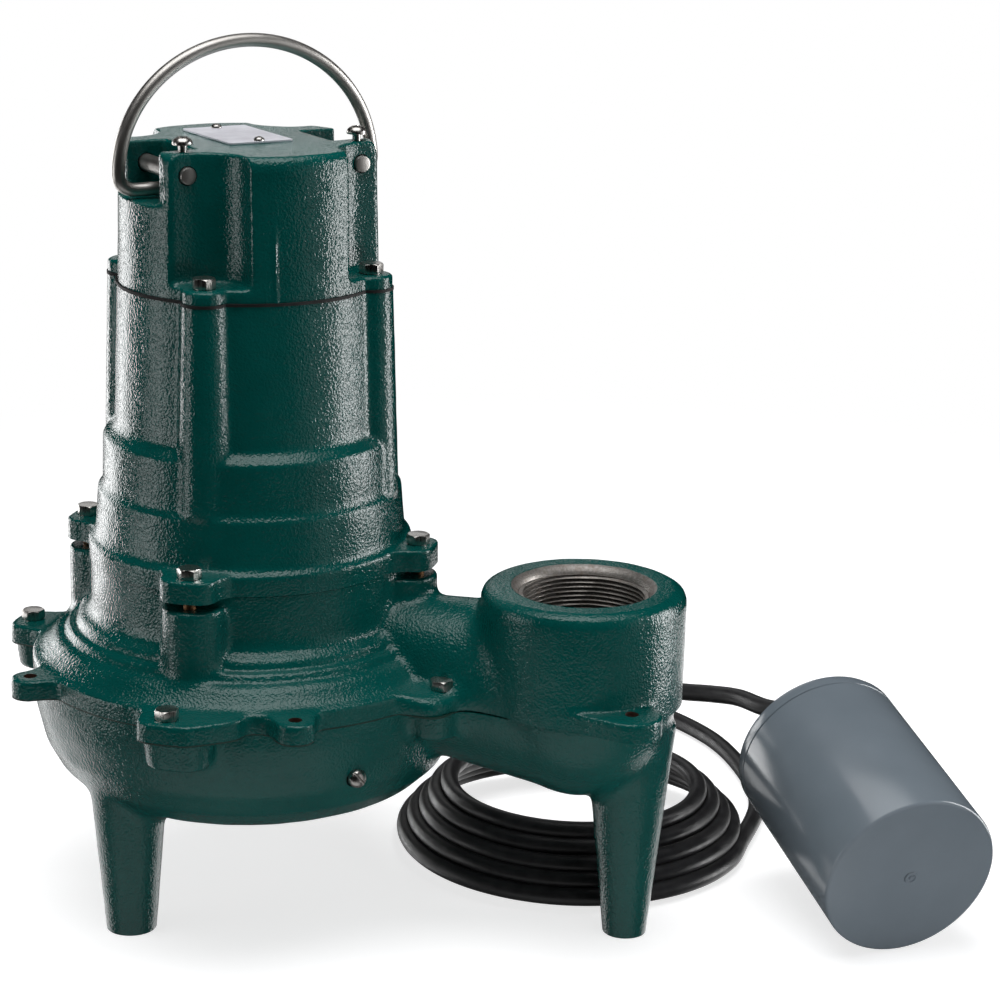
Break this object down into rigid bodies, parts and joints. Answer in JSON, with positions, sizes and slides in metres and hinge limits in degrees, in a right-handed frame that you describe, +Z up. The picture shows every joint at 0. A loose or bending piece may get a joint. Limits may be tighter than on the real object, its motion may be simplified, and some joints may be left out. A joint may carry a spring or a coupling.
{
  "type": "submersible sump pump",
  "caption": "Submersible sump pump with a ribbed cylindrical motor on a three-legged volute, upward threaded discharge, wire bail, coiled cord and tethered cylindrical float switch.",
  "frame": {"origin": "centre of the footprint, on the floor the three legs stand on", "axes": "+Z up along the motor shaft, +X from the motor towards the discharge port"},
  "size_m": [0.4922, 0.436, 0.4278],
  "materials": {
    "green_paint": "deep green enamel over rough cast iron, semi-gloss",
    "stainless": "plain stainless steel, lightly brushed",
    "nameplate_metal": "brushed aluminium",
    "gasket_rubber": "matt black moulded rubber",
    "cord_rubber": "satin black flexible cord jacket",
    "grey_plastic": "glossy blue-grey plastic",
    "black_plastic": "matt black moulded plastic",
    "lamination": "stacked steel laminations, varnished",
    "copper": "varnished copper winding",
    "cast_iron": "bare cast iron",
    "brass": "plain brass",
    "seal_face": "lapped seal face"
  },
  "bodies": {
    "root": {"motor_cap": "green_paint", "handle_pin_right": "stainless", "pin_screw_right": "stainless", "handle_pin_left": "stainless", "pin_screw_left": "stainless", "nameplate": "nameplate_metal", "nameplate_rivet_front": "stainless", "nameplate_rivet_back": "stainless", "run_capacitor": "black_plastic", "overload_protector": "black_plastic", "power_cord_gland": "gasket_rubber", "float_cord_gland": "gasket_rubber", "upper_casing": "green_paint", "lower_casing": "green_paint", "casing_gasket": "gasket_rubber", "drain_plug": "stainless", "motor_housing": "green_paint", "cap_gasket": "gasket_rubber", "cap_bolt_1": "stainless", "cap_bolt_2": "stainless", "cap_bolt_3": "stainless", "cap_bolt_4": "stainless", "flange_bolt_1": "stainless", "flange_bolt_2": "stainless", "flange_bolt_3": "stainless", "flange_bolt_4": "stainless", "casing_bolt_1": "stainless", "casing_bolt_2": "stainless", "casing_bolt_3": "stainless", "casing_bolt_4": "stainless", "casing_bolt_5": "stainless", "stator_core": "lamination", "winding_lower": "copper", "winding_upper": "copper", "upper_bearing_bracket": "cast_iron", "upper_bush": "brass", "lower_bearing_outer_race": "stainless", "seal_plate": "cast_iron", "seal_seat": "seal_face", "power_cord": "cord_rubber", "float_cord": "cord_rubber", "power_plug": "black_plastic", "plug_blade_left": "brass", "plug_blade_right": "brass", "plug_ground_pin": "brass"},
    "rotor": {"rotor_core": "lamination", "motor_shaft": "stainless", "lower_bearing_inner_race": "stainless", "seal_head": "seal_face", "seal_spring": "stainless", "impeller": "cast_iron", "impeller_screw": "stainless"},
    "bail": {"bail_handle": "stainless"},
    "float": {"float_shell": "grey_plastic", "float_end_cap": "grey_plastic", "float_cord_boot": "gasket_rubber", "float_ball_track": "grey_plastic", "float_microswitch": "black_plastic", "float_lead": "cord_rubber"},
    "ball": {"float_ball": "stainless"}
  },
  "joints": [
    {"name": "rotor_spin", "type": "hinge", "parent": "root", "child": "rotor", "pos_m": [-0.12064, -0.09254, 0.2], "axis": [0, 0, 1], "continuous": true},
    {"name": "bail_lift", "type": "slide", "parent": "root", "child": "bail", "axis": [0, 0, 1], "range_m": [0, 0.002]},
    {"name": "float_swing", "type": "hinge", "parent": "root", "child": "float", "pos_m": [0.06536, 0.07346, 0.065], "axis": [-0.72, -0.6939, 0], "range_deg": [0, 75]},
    {"name": "float_ball_roll", "type": "slide", "parent": "float", "child": "ball", "axis": [-0.5294, 0.8121, 0.2453], "range_m": [0, 0.044]}
  ]
}
